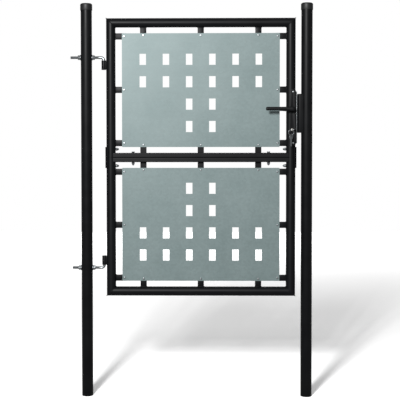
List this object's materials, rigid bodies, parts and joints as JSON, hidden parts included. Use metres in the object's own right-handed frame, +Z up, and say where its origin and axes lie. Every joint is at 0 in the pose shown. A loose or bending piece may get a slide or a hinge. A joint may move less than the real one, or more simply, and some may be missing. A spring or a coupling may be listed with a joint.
{
  "type": "garden gate",
  "caption": "Single garden gate: tubular steel leaf with slotted sheet panels, hung on adjustable hooks between two round posts, with lever lock and keep.",
  "frame": {"origin": "midway between the two posts' axes, at the level of the posts' feet", "axes": "+Z up the posts, +X along the gate from the hinge post to the lock post, -Y towards the side the leaf opens to"},
  "size_m": [1.0441, 0.115, 1.7],
  "materials": {
    "powder_coat": "semi-gloss black polyester powder coat",
    "cap_plastic": "moulded black plastic, fine matt grain",
    "galvanised_sheet": "hot-dip galvanised sheet with a fine, weak spangle",
    "zinc_plate": "bright zinc-plated steel",
    "blacked_steel": "blackened steel lock bolts and cylinder body",
    "nickelled_brass": "nickel-plated brass cylinder plug"
  },
  "bodies": {
    "posts": {"left_post": "powder_coat", "right_post": "powder_coat", "left_cap": "cap_plastic", "right_cap": "cap_plastic", "upper_hinge_hook": "zinc_plate", "lower_hinge_hook": "zinc_plate", "upper_hinge_nut_outer": "zinc_plate", "upper_hinge_nut_inner": "zinc_plate", "lower_hinge_nut_outer": "zinc_plate", "lower_hinge_nut_inner": "zinc_plate", "keep": "powder_coat", "keep_screw_lower": "zinc_plate", "keep_screw_upper": "zinc_plate"},
    "leaf": {"hinge_stile_upper": "powder_coat", "hinge_stile_lower": "powder_coat", "lock_stile_upper": "powder_coat", "lock_stile_lower": "powder_coat", "top_rail": "powder_coat", "bottom_rail": "powder_coat", "mid_rail_upper": "powder_coat", "mid_rail_lower": "powder_coat", "upper_barrel": "powder_coat", "lower_barrel": "powder_coat", "hinge_side_splice": "powder_coat", "lock_side_splice": "powder_coat", "hinge_splice_nut_lower": "zinc_plate", "hinge_splice_nut_upper": "zinc_plate", "lock_splice_nut_lower": "zinc_plate", "lock_splice_nut_upper": "zinc_plate", "mid_rail_bolt_left": "zinc_plate", "mid_rail_bolt_right": "zinc_plate", "mid_rail_nut_left": "zinc_plate", "mid_rail_nut_right": "zinc_plate", "upper_panel": "galvanised_sheet", "lower_panel": "galvanised_sheet", "lock_housing": "powder_coat", "front_escutcheon": "powder_coat", "back_escutcheon": "powder_coat", "lock_case": "zinc_plate", "forend": "zinc_plate", "forend_screw_lower": "zinc_plate", "forend_screw_upper": "zinc_plate", "cylinder_screw": "zinc_plate", "escutcheon_bolt_lower": "zinc_plate", "escutcheon_bolt_upper": "zinc_plate", "cylinder_body": "blacked_steel"},
    "handle": {"front_lever": "powder_coat", "back_lever": "powder_coat", "spindle": "zinc_plate", "follower": "zinc_plate"},
    "latch": {"latch_bolt": "blacked_steel"},
    "deadbolt": {"deadbolt": "blacked_steel"},
    "key": {"cylinder_plug": "nickelled_brass", "cylinder_cam": "zinc_plate", "key": "zinc_plate"},
    "key_ring": {"key_ring": "zinc_plate", "spare_key": "zinc_plate"}
  },
  "joints": [
    {"name": "leaf_swing", "type": "hinge", "parent": "posts", "child": "leaf", "pos_m": [-0.3998, 0, 1.036], "axis": [0, 0, -1], "range_deg": [0, 110]},
    {"name": "handle_turn", "type": "hinge", "parent": "leaf", "child": "handle", "pos_m": [0.4115, 0, 1.244], "axis": [0, -1, 0], "range_deg": [0, 50], "stiffness_Nm_per_rad": 1.2, "springref_deg": -28.65},
    {"name": "latch_slide", "type": "slide", "parent": "leaf", "child": "latch", "axis": [-1, 0, 0], "range_m": [0, 0.0095]},
    {"name": "key_turn", "type": "hinge", "parent": "leaf", "child": "key", "pos_m": [0.4115, 0, 1.154], "axis": [0, -1, 0], "range_deg": [-24, 66]},
    {"name": "deadbolt_slide", "type": "slide", "parent": "leaf", "child": "deadbolt", "axis": [-1, 0, 0], "range_m": [-0.0037, 0.01]},
    {"name": "ring_swing", "type": "hinge", "parent": "key", "child": "key_ring", "pos_m": [0.40351, -0.046, 1.15044], "axis": [0, -1, 0], "range_deg": [-67, 25]}
  ],
  "couplings": [
    {"joint": "latch_slide", "follows": "handle_turn", "m_per_rad": 0.010875},
    {"joint": "deadbolt_slide", "follows": "key_turn", "m_per_rad": 0.008594},
    {"joint": "ring_swing", "follows": "key_turn", "ratio": -1}
  ]
}
